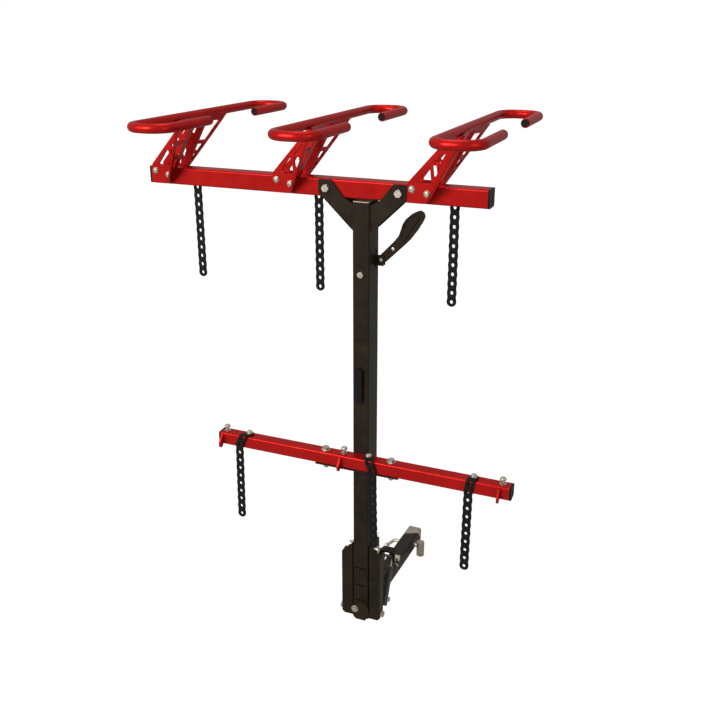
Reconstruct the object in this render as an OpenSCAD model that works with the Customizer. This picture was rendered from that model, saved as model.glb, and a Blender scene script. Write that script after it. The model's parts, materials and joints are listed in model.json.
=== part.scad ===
// Hitch bike rack: a mast on a tilting yoke, three wheel baskets on an upper crossbar,
// and a lower crossbar with rubber straps. The origin is the centre of the hitch pin.
// +X is to the right seen from behind the vehicle, +Y is towards the vehicle, +Z is up.

/* [Hitch shank] */
// Outer width of the square shank
shank_w = 50.8; // [48:0.2:52]
// Wall of the shank tube
shank_wall = 6.35; // [4:0.05:8]
// Outside corner radius of the shank tube
shank_corner = 8; // [3:0.5:9]
// Angle at which the shank falls away towards the vehicle
shank_droop = 4.5; // [0:0.5:6]
// Length of shank behind the hitch pin
shank_tail = 85; // [60:1:120]
// Diameter of the hitch pin
hitch_pin_d = 15.9; // [12:0.1:16.5]
// Diameter of the bent handle of the hitch pin
hitch_handle_d = 12; // [8:0.5:15]
// Length of hitch pin that stands out of the shank on the handle side
hitch_pin_out = 27; // [20:1:40]
// Length of the bent part of the handle
hitch_handle_len = 37; // [25:1:50]
// Diameter of the lock barrel
lock_d = 29; // [22:0.2:30]
// Height of the lock barrel
lock_h = 55; // [40:1:60]
// Distance from the shank's side to the lock barrel
lock_gap = 11; // [9:0.5:16]

/* [Mast] */
// Distance from the hitch pin to the front face of the mast
mast_reach = 472; // [440:1:520]
// Width of the mast tube
mast_w = 50.8; // [45:0.2:54]
// Depth of the mast tube
mast_d = 76.2; // [70:0.2:80]
// Wall of the mast tube
mast_wall = 3.2; // [2:0.1:4.5]
// Corner radius of the mast tube
mast_corner = 5; // [3.5:0.5:8]
// Height of the underside of the upper crossbar above the hitch pin
bar_height = 1393; // [1250:1:1500]
// Gap between the top of the mast and the upper crossbar
mast_top_gap = 6.5; // [3:0.5:10]
// Depth of the bolt in the mast's front face below the upper crossbar
mast_bolt_drop = 212.6; // [190:0.2:240]
// Height of the lower end of the mast tube above the tilt pivot
mast_foot_drop = 30; // [28:0.5:34]

/* [Tilt yoke] */
// Height of the tilt pivot above the hitch pin
pivot_h = 29; // [24:1:34]
// Distance of the tilt pivot behind the front face of the mast
pivot_in = 16.2; // [14:0.1:19]
// Diameter of the tilt pivot bolt
pivot_d = 12; // [9:0.5:14]
// Side clearance between the mast and the yoke webs
yoke_gap = 3.6; // [3.2:0.1:4.5]
// Plate thickness of the yoke
yoke_t = 6; // [4:0.5:7]
// Width of each yoke cheek
cheek_w = 37; // [32:1:42]
// Depth of each yoke cheek
cheek_d = 32; // [28:1:38]
// Height of the yoke cheeks above the hitch pin at the mast
cheek_h = 283; // [275:1:310]
// Fall of the cheek top from the mast to the outside
cheek_fall = 36; // [20:1:50]
// Radius of the foot around the tilt pivot
foot_r = 27; // [24:0.5:28]
// Fall of the yoke webs' top from the front to the back
web_fall = 13; // [6:1:20]
// Clearance behind the mast to the heel plate
heel_gap = 10; // [6:0.5:14]
// Height of the heel plate above the hitch pin
heel_h = 130; // [110:1:135]

/* [Lock and release] */
// Depth of the lock pins below the top of the cheeks
lock_pin_drop = 22; // [19:1:33]
// Distance of the lock pins behind the front face of the mast
lock_pin_in = 31; // [28:0.5:33]
// Diameter of the lock pins
lock_pin_d = 12; // [10:0.5:13]
// Travel of each lock pin
lock_travel = 9; // [8.6:0.2:9.4]
// Travel of the release cable
cable_travel = 12.6; // [12:0.1:13.2]
// Diameter of the release cable
cable_d = 3; // [2:0.5:4]
// Depth of the lever pivot below the upper crossbar
lever_drop = 176; // [160:1:200]
// Distance of the lever pivot from the side of the mast
lever_out = 18.9; // [14:0.1:20]
// Thickness of the lever
lever_t = 8; // [6:0.5:9]

/* [Damper] */
// Sideways position of the damper
damper_x = 45; // [44.5:0.1:46]
// Outer diameter of the damper cylinder
damper_d = 18; // [15:0.5:18.5]
// Diameter of the damper rod
damper_rod_d = 8; // [6:0.5:9]
// Distance of the damper's lower stud behind the front face of the mast
damper_low_y = 112; // [110:1:115]
// Height of the damper's lower stud above the hitch pin
damper_low_h = 15; // [13:1:18]
// Distance of the damper's upper pin behind the front face of the mast
damper_top_y = 172; // [168:1:176]
// Height of the damper's upper pin above the hitch pin
damper_top_h = 143; // [139:1:147]
// Diameter of the damper's upper pin and lower stud
damper_pin_d = 10; // [8:0.5:11]

/* [Upper crossbar] */
// Width of the upper crossbar tube
bar_w = 50.8; // [45:0.2:52]
// Left end of the upper crossbar, measured from the mast centre
bar_left = 688; // [680:1:760]
// Right end of the upper crossbar, measured from the mast centre
bar_right = 352; // [340:1:420]
// Wall of both crossbar tubes
bar_wall = 3.2; // [2:0.1:4.5]
// Corner radius of both crossbar tubes
bar_corner = 5; // [3.5:0.5:7]
// Thickness of the end cap lips
cap_lip = 6; // [4:0.5:8]
// Spacing of the wheel baskets
basket_pitch = 406.4; // [390:0.2:420]
// Thickness of the basket brackets and mast plates
plate_t = 6.35; // [4:0.05:6.35]

/* [Wheel baskets] */
// Diameter of the basket tube
hoop_d = 25.4; // [22:0.2:27]
// Height of the basket tube centre above the crossbar underside
hoop_h = 208; // [190:1:230]
// Reach of the basket in front of the crossbar centre
hoop_front = 362; // [340:1:400]
// Reach of the basket behind the crossbar centre
hoop_rear = 340; // [320:1:380]
// Width of the basket between tube centres
hoop_w = 115; // [108:1:130]
// Bend radius of the basket tube
hoop_bend = 50; // [40:1:52]
// Wall of the basket tube
hoop_wall = 2; // [1.5:0.1:3]
// Left rail of the middle basket, measured from the mast centre
rail_x = -113; // [-116:1:-110]
// Length of the short front leg from the front tube's centre
front_leg = 220; // [180:1:240]
// Length of the short rear leg from the rear tube's centre
rear_leg = 224; // [180:1:240]

/* [Lower crossbar] */
// Width of the lower crossbar tube
low_w = 40; // [36:0.5:44]
// Half length of the lower crossbar tube
low_half = 469; // [460:1:520]
// Height of the lower crossbar's top above the hitch pin
low_top = 615; // [560:1:680]
// Distance of the mounting bolts from the mast centre
low_bolt_x = 107; // [90:1:118]
// Thickness of the mounting plate
low_plate_t = 4; // [3:0.5:9]
// Diameter of the eyes of the tie loops
tie_eye_d = 7.5; // [5:0.5:10]

/* [Straps] */
// Distance of each upper strap to the left of its basket's place
upper_strap_left = 157; // [140:1:175]
// Width of the rubber straps
strap_w = 28; // [24:0.5:30]
// Thickness of the rubber straps
strap_t = 6; // [4:0.5:7]
// Spacing of the strap holes
strap_pitch = 27; // [25:0.5:28]
// Diameter of the strap holes
strap_hole = 9.1; // [7:0.1:10]
// Number of holes below the bar in an upper strap
upper_holes = 10; // [6:1:12]
// Number of holes below the edge in a lower strap
lower_holes = 10; // [6:1:12]

/* [Hidden] */
$fn = 48;
fit = 0.05;
gap = 0.3;

red = [0.77, 0.15, 0.14];
black = [0.16, 0.15, 0.14];
zinc = [0.78, 0.74, 0.69];
rubber = [0.10, 0.10, 0.09];
steel = [0.55, 0.52, 0.48];

// Places worked out from the driving sizes
mast_y = -mast_reach;
pivot_y = mast_y + pivot_in;
mast_bottom = pivot_h + mast_foot_drop;
mast_top = bar_height - mast_top_gap;
web_in = mast_w/2 + yoke_gap;
web_out = web_in + yoke_t;
lock_pin_h = cheek_h - lock_pin_drop;
cheek_out = web_in + cheek_w;
cheek_front = mast_y + 2;
cheek_back = cheek_front + cheek_d;
yoke_floor = pivot_h - 19;
heel_y = mast_y + mast_d + heel_gap;
shank_start = heel_y + yoke_t;
heel_top = heel_h - 12;
bar_y = mast_y + mast_d/2;
bar_front = bar_y - bar_w/2;
bar_back = bar_y + bar_w/2;
bar_top = bar_height + bar_w;
lock_pin_y = mast_y + lock_pin_in;
wear_t = yoke_gap - 0.6;
stud_y = mast_y + damper_low_y;
eye_y = mast_y + damper_top_y;
damper_len = norm([damper_top_y - damper_low_y, damper_top_h - damper_low_h]);
damper_tilt = atan2(damper_top_y - damper_low_y, damper_top_h - damper_low_h);
low_y = mast_y - low_w/2;
basket_x = [-basket_pitch, 0, basket_pitch];
strap_bolt_d = strap_hole - 2*fit;
guide_half = mast_w/2 - mast_wall;
// The lock pins lie drawn, and travel outwards into their sockets
pin_tip = web_out + 1.5 - lock_travel;
pin_tail = 1;
peg_x = pin_tail + 4;
peg_out = peg_x + lock_travel;
peg_d = 5;
cam_y = lock_pin_y + lock_pin_d/2 + 1;
cam_t = 4;

// Flat shapes
module round_rect(w, h, r) {
    square([w - 2*r, h], center = true);
    square([w, h - 2*r], center = true);
    for (x = [-1, 1], y = [-1, 1])
        translate([x*(w/2 - r), y*(h/2 - r)]) circle(r);
}
module tube_section(w, h, wall, r) {
    difference() {
        round_rect(w, h, r);
        round_rect(w - 2*wall, h - 2*wall, max(r - wall, 0.6));
    }
}
// Corner arc of a rounded polygon, from the corner b between a and c
function unit(v) = v/norm(v);
function corner_arc(a, b, c, r) =
    let (u = unit(a - b), v = unit(c - b), half = acos(u*v)/2,
        reach = min(r/tan(half), 0.45*norm(a - b), 0.45*norm(c - b)),
        rr = reach*tan(half), centre = b + unit(u + v)*rr/sin(half),
        s = b + u*reach - centre, e = b + v*reach - centre,
        turn = 180 - 2*half, way = sign(s[0]*e[1] - s[1]*e[0]))
    [for (k = [0:3]) let (t = way*turn*k/3)
        centre + [s[0]*cos(t) - s[1]*sin(t), s[0]*sin(t) + s[1]*cos(t)]];
function rounded(p, r) = let (n = len(p))
    [for (i = [0:n - 1]) each corner_arc(p[(i + n - 1)%n], p[i], p[(i + 1)%n], r)];

// Solids laid along an axis
module rod_x(x0, x1, d) translate([x0, 0, 0]) rotate([0, 90, 0]) cylinder(h = x1 - x0, d = d);
module rod_y(y0, y1, d) translate([0, y1, 0]) rotate([90, 0, 0]) cylinder(h = y1 - y0, d = d);
module hex_x(x0, x1, across) translate([x0, 0, 0]) rotate([0, 90, 0])
    cylinder(h = x1 - x0, d = across/cos(30), $fn = 6);
module plate_x(x0, x1) translate([x0, 0, 0]) rotate([90, 0, 90]) linear_extrude(x1 - x0) children();
module plate_y(y0, y1) translate([0, y1, 0]) rotate([90, 0, 0]) linear_extrude(y1 - y0) children();
module mirrored() {
    children();
    mirror([1, 0, 0]) children();
}
module at_pivot() translate([0, pivot_y, pivot_h]) children();
module at_lock() translate([0, lock_pin_y, lock_pin_h]) children();
module along_shank() rotate([-shank_droop, 0, 0]) children();

// Base: shank, yoke and heel plate
module shank_body() along_shank() translate([0, shank_start/cos(shank_droop) - 8, 0])
    rotate([-90, 0, 0]) linear_extrude(shank_tail - shank_start/cos(shank_droop) + 8)
        tube_section(shank_w, shank_w, shank_wall, shank_corner);
module shank() color(black) difference() {
    shank_body();
    rod_x(-shank_w, shank_w, hitch_pin_d + 2*fit);
    translate([-shank_w, shank_start - 40, -60]) cube([2*shank_w, 40, 200]);
}
function web_shape() = rounded([[cheek_front, yoke_floor], [cheek_front, cheek_h],
    [cheek_back, cheek_h - web_fall], [cheek_back, heel_h + 45], [heel_y, heel_h],
    [stud_y + 14, damper_low_h + 40], [stud_y + 14, yoke_floor - 8], [heel_y, yoke_floor - 8]], 6);
module cheek() {
    // Front flange with its sloping top
    plate_y(cheek_front, cheek_front + yoke_t)
        polygon(rounded([[web_in, yoke_floor], [web_in, cheek_h], [web_in + 6, cheek_h - 4],
            [cheek_out, cheek_h - cheek_fall], [cheek_out, yoke_floor + 8],
            [cheek_out - 8, yoke_floor]], 3));
    // Outer return
    translate([cheek_out - yoke_t, cheek_front, yoke_floor + 8])
        cube([yoke_t, cheek_d, cheek_h - cheek_fall - yoke_floor - 8]);
}
module yoke_side() difference() {
    union() {
        plate_x(web_in, web_out) polygon(web_shape());
        cheek();
    }
    at_pivot() rod_x(web_in - 1, cheek_out + 1, pivot_d + 2*fit);
    at_lock() rod_x(web_in - 1, web_out + 1, lock_pin_d + 2*fit);
    translate([0, stud_y, damper_low_h]) rod_x(web_in - 1, web_out + 1, damper_pin_d);
}
module yoke_right() color(black) yoke_side();
module yoke_left() color(black) mirror([1, 0, 0]) yoke_side();
module heel_plate() color(black) translate([-web_in, heel_y, yoke_floor - 8])
    cube([2*web_in, yoke_t, heel_top - yoke_floor + 8]);
module shank_gussets() color(black) mirrored() difference() {
    plate_x(shank_w/2 - shank_corner - yoke_t, shank_w/2 - shank_corner)
        polygon([[shank_start, shank_w/2 - 10], [shank_start, heel_top - 4],
            [shank_start + 18, heel_top - 4], [shank_start + 110, shank_w/2 + 30],
            [shank_start + 110, shank_w/2 - 10]]);
    along_shank() translate([-shank_w, -shank_w*12, -shank_w/2])
        cube([2*shank_w, shank_w*14, shank_w]);
}
module pivot_bolt() color(zinc) at_pivot() {
    rod_x(-cheek_out - 1.5, cheek_out + 10, pivot_d);
    hex_x(-cheek_out - 8.5, -cheek_out - 1.5, 18);
    rod_x(-cheek_out - 1.5, -cheek_out, 22);
}
module pivot_nut() color(zinc) at_pivot() difference() {
    union() {
        rod_x(cheek_out, cheek_out + 1.5, 22);
        hex_x(cheek_out + 1.5, cheek_out + 9, 18);
    }
    rod_x(cheek_out - 1, cheek_out + 10, pivot_d);
}
module pivot_washers() color(zinc) mirrored() at_pivot() difference() {
    rod_x(mast_w/2 + gap, web_in, 26);
    rod_x(mast_w/2, web_in + 1, pivot_d + 2*fit);
}
module lock_sockets() color(zinc) mirrored() at_lock() difference() {
    union() {
        rod_x(web_out, web_out + 3, 33);
        rod_x(web_out + 3, web_out + 15, 22);
    }
    rod_x(web_out - 1, web_out + 10, lock_pin_d + 2*fit);
}
module damper_stud() color(zinc) translate([0, stud_y, damper_low_h]) {
    rod_x(web_in, damper_x + damper_d/2 + 6, damper_pin_d);
    hex_x(damper_x + damper_d/2 + 0.5, damper_x + damper_d/2 + 6.5, 15);
}

// Mast body
module mast_tube() color(black) difference() {
    translate([0, mast_y + mast_d/2, mast_bottom]) linear_extrude(mast_top - mast_bottom)
        tube_section(mast_w, mast_d, mast_wall, mast_corner);
    at_lock() rod_x(-mast_w, mast_w, lock_pin_d + 2*fit);
    // Welding slots of the stiffener in the front wall
    for (z = [75, 132, 197])
        translate([-18, mast_y - 1, z - 2.2]) cube([36, mast_wall + 2, 4.4]);
    // Window for the lever's tail
    translate([mast_w/2 - mast_wall - 1, lever_y() - lever_t/2 - 1, lever_z() - 30])
        cube([mast_wall + 2, lever_t + 2, 58]);
    translate([0, mast_y, bar_height - mast_bolt_drop]) rod_y(-1, mast_wall + 1, 8);
}
module mast_foot() color(black) difference() {
    union() {
        at_pivot() rod_x(-mast_w/2, mast_w/2, 2*foot_r);
        translate([-mast_w/2, mast_y, pivot_h]) cube([mast_w, pivot_in + foot_r, mast_foot_drop]);
    }
    at_pivot() rod_x(-mast_w, mast_w, pivot_d + 2*fit);
    translate([-mast_w, mast_y - 40, 0]) cube([2*mast_w, 40, 100]);
    translate([toe_bolt_x, mast_y, toe_bolt_z]) rod_y(-1, 9, 10);
}
toe_bolt_x = -17.7;
toe_bolt_z = pivot_h + 12;
toe_half = web_in - 0.6;
module toe_plate() color(black) difference() {
    plate_y(mast_y - 5, mast_y) polygon(rounded([[-toe_half, pivot_h - 6], [-23, pivot_h - 20],
        [-15, pivot_h - foot_r], [18, pivot_h - foot_r], [toe_half, pivot_h - 5],
        [toe_half, pivot_h + 20], [20, pivot_h + 41], [-18, pivot_h + 33],
        [-toe_half, pivot_h + 18]], 5));
    translate([toe_bolt_x, mast_y, toe_bolt_z]) rod_y(-6, 1, 10);
}
module toe_bolt() color(zinc) translate([toe_bolt_x, mast_y, toe_bolt_z]) {
    rod_y(-5, 8, 10);
    rod_y(-7, -5, 24);
    rod_y(-12, -7, 17);
}
guide_depth = lock_pin_in + lock_pin_d/2 + 0.6 - mast_wall;
guide_cut = mast_corner - mast_wall + 0.2;
module lock_guide() color(steel) difference() {
    translate([-guide_half, mast_y + mast_wall, lock_pin_h - 14]) union() {
        translate([0, guide_cut, 0]) cube([2*guide_half, guide_depth - guide_cut, 28]);
        translate([guide_cut, 0, 0]) cube([2*guide_half - 2*guide_cut, guide_depth, 28]);
    }
    at_lock() rod_x(-mast_w, mast_w, lock_pin_d + 2*fit);
    at_lock() mirrored() translate([peg_x - peg_d/2 - 1, 0, -peg_d/2 - gap])
        cube([lock_travel + peg_d + 2, lock_pin_d, peg_d + 2*gap]);
}
module lock_plates() color(black) mirrored() difference() {
    plate_x(mast_w/2, mast_w/2 + wear_t)
        polygon(rounded([[mast_y + 8, lock_pin_h - 48], [mast_y + 8, cheek_h + 1],
            [mast_y + mast_d + 6, cheek_h - web_fall + 3], [mast_y + mast_d + 18, cheek_h - web_fall - 4],
            [mast_y + mast_d + 18, lock_pin_h - 48]], 6));
    at_lock() rod_x(0, mast_w, lock_pin_d + 2*fit);
}
arm_half = 9;
arm_clear = 3;
arm_tall = 24;
hood_rise = 27;
hood_t = 5;
module damper_arm() color(black) {
        // Foot of the arm on the rear wall of the mast
        translate([-22, mast_y + mast_d, damper_top_h - 30]) cube([44, yoke_t, 75]);
        plate_x(-arm_half, arm_half) polygon(rounded([[mast_y + mast_d, heel_top + arm_clear],
            [mast_y + mast_d, damper_top_h + arm_tall], [eye_y - 14, damper_top_h + 14],
            [eye_y + 28, damper_top_h + 8], [eye_y + 30, damper_top_h - 38],
            [eye_y + 4, damper_top_h - 50], [eye_y - 42, damper_top_h - 46],
            [shank_start + 10, heel_top + arm_clear]], 8));
        // Hood that guards the damper's eye
        plate_y(eye_y - 14, eye_y + 16) translate([0, damper_top_h])
            polygon(rounded([[3, -12], [3, hood_rise], [clevis_out(), hood_rise], [clevis_out(), -12],
                [clevis_out() - hood_t, -12], [clevis_out() - hood_t, hood_rise - hood_t],
                [3 + hood_t, hood_rise - hood_t], [3 + hood_t, -12]], 14));
}
function clevis_out() = damper_x + damper_d/2 + 3.5;
handle_top = bar_height - 498;
handle_len = 110;
module pull_handle() color(rubber) difference() {
    translate([-3.5, mast_y, handle_top - handle_len/2]) plate_y(-12, 0)
        round_rect(22, handle_len, 10);
    translate([-16, mast_y - 7, handle_top - handle_len + 22])
        cube([25, 8, handle_len - 44]);
}
module mast_bolts() color(zinc) {
    translate([0, mast_y, bar_height - mast_bolt_drop]) {
        rod_y(0, mast_wall + 9, 8);
        rod_y(-6, 0, 18);
        translate([0, mast_wall, 0]) rotate([-90, 0, 0]) cylinder(h = 7, d = 13/cos(30), $fn = 6);
    }
    // Head of the damper's upper pin on the outer cheek of the arm
    translate([clevis_out(), eye_y, damper_top_h]) {
        rod_x(0, 2, 23);
        hex_x(2, 14, 19);
    }
}

// Release lever on the right side of the mast
function lever_y() = mast_y + 54;
function lever_z() = bar_height - lever_drop;
lever_x = mast_w/2 + lever_out;
ear_t = 3;
tail_t = 12;
tail_end = lever_x + 12;
module lever_bracket() color(black) difference() {
    for (s = [-1, 1])
        translate([mast_w/2, lever_y() + s*(lever_t/2 + gap + ear_t/2) - ear_t/2, lever_z() - 18])
            cube([lever_out + 7, ear_t, 28]);
    translate([lever_x, lever_y(), lever_z()]) rod_y(-20, 20, 6);
}
module lever_rivet() color(zinc) translate([lever_x, lever_y(), lever_z()]) {
    rod_y(-lever_t/2 - gap - ear_t - 2, lever_t/2 + gap + ear_t + 2, 6);
    for (s = [-1, 1]) translate([0, s*(lever_t/2 + gap + ear_t + 1), 0]) rod_y(-1, 1, 10);
}
module lever_arm_shape() {
    // Straight arm from the tail inside the mast to the start of the paddle
    polygon(rounded([[-tail_end, -tail_t/2], [-tail_end, tail_t/2], [-10, 7], [-4, 13.5], [42, 62],
        [70, 50], [11, -7.5], [3, -13], [-8, -9]], 3));
}
module lever_paddle_shape() polygon(rounded([[37, 57], [51, 74], [58, 94], [62, 108], [71, 123],
    [90, 140], [109, 149], [121, 144], [125, 132], [119, 118], [105, 94], [84, 65],
    [61, 41]], 9));
module release_lever() color(black) translate([lever_x, lever_y(), lever_z()]) difference() {
    union() {
        plate_y(-lever_t/2, lever_t/2) lever_arm_shape();
        plate_y(-lever_t/2 - 3, lever_t/2 + 3) lever_paddle_shape();
        translate([34, 0, 34]) rod_y(-lever_t/2 - 1.5, lever_t/2 + 1.5, 8);
    }
    rod_y(-20, 20, 6 + 2*fit);
    // Recess of the paddle with its raised rib left standing
    translate([0, -lever_t/2 - 0.5, 0]) plate_y(-3, 0) difference() {
        polygon(rounded([[56, 65.5], [60.5, 84], [63.5, 96], [68.5, 107.5], [80.5, 124], [96, 135.5],
            [108, 138.5], [115, 132.5], [112.5, 126], [69.5, 57], [63, 58.5]], 3));
        polygon([[59.6, 56.8], [61.8, 55.4], [110.9, 127.6], [108.7, 129]]);
    }
    // Fork for the end of the cable
    translate([-tail_end - 1, -2.2, -8]) cube([21, 4.4, 16]);
    translate([-lever_x, 0, tail_t/2 + nipple_d/2 + seat_rise]) rod_y(-6, 6, nipple_d + seat_play);
}

// Lock pins, their cam plate and the cable inside the mast
module lock_pin() difference() {
    union() {
        rod_x(pin_tail, pin_tip, lock_pin_d);
        translate([peg_x, 0, 0]) rod_y(0, cam_y - lock_pin_y + cam_t + 1, peg_d);
    }
    translate([pin_tip - 2, 0, 0]) rotate([0, 90, 0]) difference() {
        cylinder(h = 3, d = lock_pin_d + 2);
        translate([0, 0, -0.01]) cylinder(h = 3.1, d1 = lock_pin_d, d2 = lock_pin_d - 4.6, $fn = 48);
    }
}
module lock_pin_right() color(zinc) at_lock() lock_pin();
module lock_pin_left() color(zinc) at_lock() mirror([1, 0, 0]) lock_pin();
cam_reach = norm([lock_travel, cable_travel])/2 + peg_d/2 + gap;
module cam_slot() translate([(peg_x + peg_out)/2, cable_travel/2])
    rotate(atan2(cable_travel, lock_travel))
        polygon(rounded([[-cam_reach, -peg_d/2 - gap], [cam_reach, -peg_d/2 - gap],
            [cam_reach, peg_d/2 + gap], [-cam_reach, peg_d/2 + gap]], 1));
module cam_plate() color(steel) translate([0, cam_y + cam_t, lock_pin_h]) rotate([90, 0, 0])
    linear_extrude(cam_t) difference() {
        round_rect(2*guide_half - 1.2, 76, 4);
        cam_slot();
        mirror([1, 0]) cam_slot();
    }
cable_low = [0, cam_y + cam_t/2, lock_pin_h + 38];
nipple_d = 8;
// The lever's seat leaves the nipple room to slide as the lever turns
seat_play = 4;
seat_rise = 1.2;
cable_high = [0, lever_y(), lever_z() + tail_t/2 + nipple_d/2];
module release_cable() color(steel) {
    run = cable_high - cable_low;
    translate(cable_low) rotate([-atan2(run[1], run[2]), 0, 0]) cylinder(h = norm(run), d = cable_d);
    translate(cable_high) rod_y(-lever_t/2, lever_t/2, nipple_d);
}

// Damper
module along_damper() translate([damper_x, stud_y, damper_low_h])
    rotate([-damper_tilt, 0, 0]) children();
cylinder_top = damper_len - 32;
module damper_cylinder() color(steel) along_damper() difference() {
    translate([0, 0, -22]) cylinder(h = cylinder_top + 22, d = damper_d);
    translate([0, 0, 12]) cylinder(h = cylinder_top - 18, d = damper_d - 4);
    cylinder(h = cylinder_top + 1, d = damper_rod_d + 2*fit);
    rod_x(-damper_d, damper_d, damper_pin_d + 2*fit);
}
module damper_rod() color(zinc) along_damper() difference() {
    union() {
        translate([0, 0, 24]) cylinder(h = damper_len - 32, d = damper_rod_d);
        translate([0, 0, 24]) cylinder(h = 12, d = damper_d - 4 - 2*gap);
        translate([0, 0, damper_len]) rod_x(-6, 6, 20);
        translate([0, 0, damper_len - 16]) cylinder(h = 10, d = 13);
    }
    translate([0, 0, damper_len]) rod_x(-10, 10, damper_pin_d);
}
module damper_pin() color(zinc) translate([0, eye_y, damper_top_h]) {
    rod_x(arm_half + gap, clevis_out() - 5 - gap, damper_pin_d);
}

// Upper crossbar
module bar_along(x0, x1, w) translate([x0, 0, 0]) rotate([90, 0, 90])
    linear_extrude(x1 - x0) tube_section(w, w, bar_wall, bar_corner);
cap_plug = 10;
module cap(w) difference() {
    union() {
        translate([0, 0, 0]) rotate([90, 0, 90]) linear_extrude(cap_lip) round_rect(w, w, bar_corner);
        translate([-cap_plug, 0, 0]) rotate([90, 0, 90])
            linear_extrude(cap_plug) round_rect(w - 2*bar_wall, w - 2*bar_wall, 2);
    }
    translate([cap_lip - 2, -4, -w/2 + 12]) cube([3, 8, w - 24]);
}
module at_bar() translate([0, bar_y, bar_height + bar_w/2]) children();
// Left edge of a bracket and its two bolts, measured from its basket
web_left = -274.2;
bracket_bolts_at = [[-261.5, 39.3], [-218.4, 29.4]];
// Arms of the mast plates: the left one is free, the right one ends short of the next bracket
arm_left = 131;
arm_gap = 1.2;
arm_right = basket_pitch + web_left - arm_gap;
arm_bolt_in = 23.5;
arm_bolt_z = 25;
upper_strap_x = [for (b = basket_x) b - upper_strap_left];
upper_strap_z = 14;
module upper_crossbar() color(red) difference() {
    at_bar() bar_along(-bar_left, bar_right, bar_w);
    for (b = basket_x, h = bracket_bolts_at)
        translate([b + h[0], bar_y, bar_height + h[1]]) rod_y(-bar_w, bar_w, 8.4);
    for (x = [arm_bolt_in - arm_left, arm_right - arm_bolt_in])
        translate([x, bar_y, bar_height + arm_bolt_z]) rod_y(-bar_w, bar_w, 12.9);
    for (x = upper_strap_x)
        translate([x, bar_y, bar_height + upper_strap_z]) rod_y(0, bar_w, strap_bolt_d);
}
module upper_caps() color(rubber) at_bar() {
    translate([bar_right, 0, 0]) cap(bar_w);
    translate([-bar_left, 0, 0]) mirror([1, 0, 0]) cap(bar_w);
}

// Wheel baskets
hoop_z = bar_height + hoop_h;
hoop_y0 = bar_y - hoop_front;
hoop_y1 = bar_y + hoop_rear;
module elbow(d) rotate_extrude(angle = 90) translate([hoop_bend, 0]) circle(d = d);
// Run of the bent tube, with its open ends longer by over
module hoop_run(d, over) {
    rod_span(hoop_y0 + hoop_bend, hoop_y1 - hoop_bend, d);
    translate([hoop_bend, hoop_y0 + hoop_bend, 0]) rotate([0, 0, 180]) elbow(d);
    translate([hoop_bend, hoop_y1 - hoop_bend, 0]) rotate([0, 0, 90]) elbow(d);
    for (y = [hoop_y0, hoop_y1])
        translate([0, y, 0]) rod_x(hoop_bend, hoop_w - hoop_bend, d);
    translate([hoop_w - hoop_bend, hoop_y0 + hoop_bend, 0]) rotate([0, 0, -90]) elbow(d);
    translate([hoop_w - hoop_bend, hoop_y1 - hoop_bend, 0]) elbow(d);
    translate([hoop_w, 0, 0]) {
        rod_span(hoop_y0 + hoop_bend, hoop_y0 + front_leg + over, d);
        rod_span(hoop_y1 - rear_leg - over, hoop_y1 - hoop_bend, d);
    }
}
hoop_bore = hoop_d - 2*hoop_wall;
module hoop() translate([rail_x, 0, hoop_z]) difference() {
    hoop_run(hoop_d, 0);
    hoop_run(hoop_bore, 1);
}
module rod_span(y0, y1, d = hoop_d) rod_y(y0, y1, d);
module at_basket(i) translate([basket_x[i - 1], 0, 0]) children();
module hoop_1() color(red) at_basket(1) hoop();
module hoop_2() color(red) at_basket(2) hoop();
module hoop_3() color(red) at_basket(3) hoop();
module hoop_plugs() color(rubber) for (i = [1:3]) at_basket(i)
    translate([rail_x + hoop_w, 0, hoop_z]) {
        rod_span(hoop_y0 + front_leg - 19, hoop_y0 + front_leg, hoop_bore);
        translate([0, hoop_y0 + front_leg, 0]) intersection() {
            sphere(d = hoop_d);
            rod_span(0, hoop_d, hoop_d);
        }
        rod_span(hoop_y1 - rear_leg - 0.6, hoop_y1 - rear_leg + 19, hoop_bore);
    }

// Brackets: a web against the crossbar, bent along a leaning line into a flange
lean = atan2(0.549, 1);
bend_x = -223;
web_tall = hoop_h + 2;
function bend_at(z) = bend_x + z*tan(lean);
bend_out = plate_t/cos(lean) - 0.5;
web_points = [[web_left, 2], [web_left, bar_w - 4], [web_left + 1, bar_w + 7],
    [rail_x - 34, web_tall - 10], [rail_x - 22, web_tall - 2], [bend_at(web_tall) + bend_out, web_tall],
    [bend_at(14) + bend_out, 14], [bend_at(7), 4], [bend_x - 4, 2]];
web_windows = [[[-252, 56], [-210, 56], [-208, 66], [-213, 104], [-221, 99]],
    [[-205, 106], [-189, 106], [-188, 94], [-200, 69]],
    [[-205, 113], [-184, 113], [-171, 137], [-178, 142]],
    [[-167, 148], [-155, 148], [-140, 178], [-147, 173]]];
module bracket_web() difference() {
    polygon(rounded(web_points, 4));
    for (w = web_windows) polygon(rounded(w, 3));
    for (h = bracket_bolts_at) translate(h) circle(d = 8.4);
}
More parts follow.
